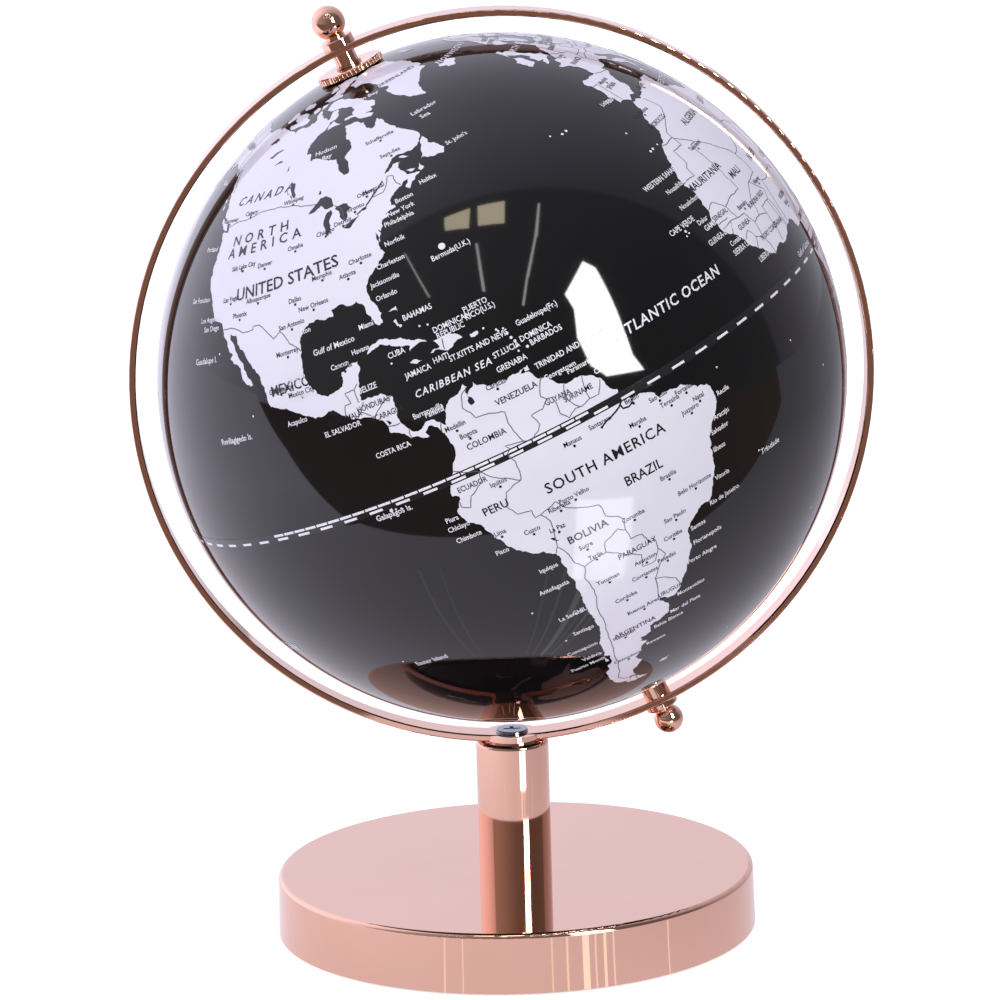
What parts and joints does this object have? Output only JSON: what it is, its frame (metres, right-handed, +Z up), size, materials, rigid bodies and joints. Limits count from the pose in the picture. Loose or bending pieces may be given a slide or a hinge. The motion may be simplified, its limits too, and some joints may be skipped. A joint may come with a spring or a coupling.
{
  "type": "desktop globe on stand",
  "caption": "Terrestrial desk globe that spins on a tilted axle inside a full meridian ring, on a short post and a round weighted base.",
  "frame": {"origin": "centre of the base's underside, on the axis of the post, where the stand rests on the table", "axes": "+Z up along the post; the meridian ring lies in the XZ plane; the globe's north pole leans 24 degrees from +Z towards -X; -Y is the front"},
  "size_m": [0.216, 0.2, 0.2752],
  "materials": {
    "rose_gold": "mirror-polished rose-gold plating on steel",
    "map_print": "glossy laminated print, black sea and pale lavender-white land",
    "shell_plastic": "unpainted moulded plastic",
    "nylon": "plain moulded nylon",
    "zinc_steel": "zinc-plated steel",
    "nickel_screw": "dark nickel-plated screw head",
    "ballast_steel": "bare rolled steel plate",
    "moulded_cover": "black moulded plastic",
    "foam_pad": "fine closed-cell foam"
  },
  "bodies": {
    "stand": {"base_pad": "foam_pad", "base_cover": "moulded_cover", "base_ballast": "ballast_steel", "base_washer": "zinc_steel", "base_bolt": "zinc_steel", "base_shell": "rose_gold", "post_foot_plug": "zinc_steel", "post_tube": "rose_gold", "post_head": "rose_gold", "ring_screw": "nickel_screw", "meridian_ring": "rose_gold", "axle_rod": "zinc_steel", "north_collar": "rose_gold", "north_knob": "rose_gold", "north_spacer": "rose_gold", "north_thrust_washer": "rose_gold", "south_collar": "rose_gold", "south_knob": "rose_gold", "south_spacer": "rose_gold", "south_thrust_washer": "rose_gold"},
    "globe": {"north_shell": "shell_plastic", "south_shell": "shell_plastic", "north_map_cover": "map_print", "south_map_cover": "map_print", "joining_band": "shell_plastic", "north_bush": "nylon", "south_bush": "nylon"},
    "hour_dial": {"hour_dial": "rose_gold"}
  },
  "joints": [
    {"name": "globe_spin", "type": "hinge", "parent": "stand", "child": "globe", "pos_m": [0, 0, 0.165], "axis": [-0.4067, 0, 0.9135], "continuous": true},
    {"name": "dial_spin", "type": "hinge", "parent": "stand", "child": "hour_dial", "pos_m": [-0.04116, 0, 0.25745], "axis": [-0.4067, 0, 0.9135], "continuous": true}
  ]
}
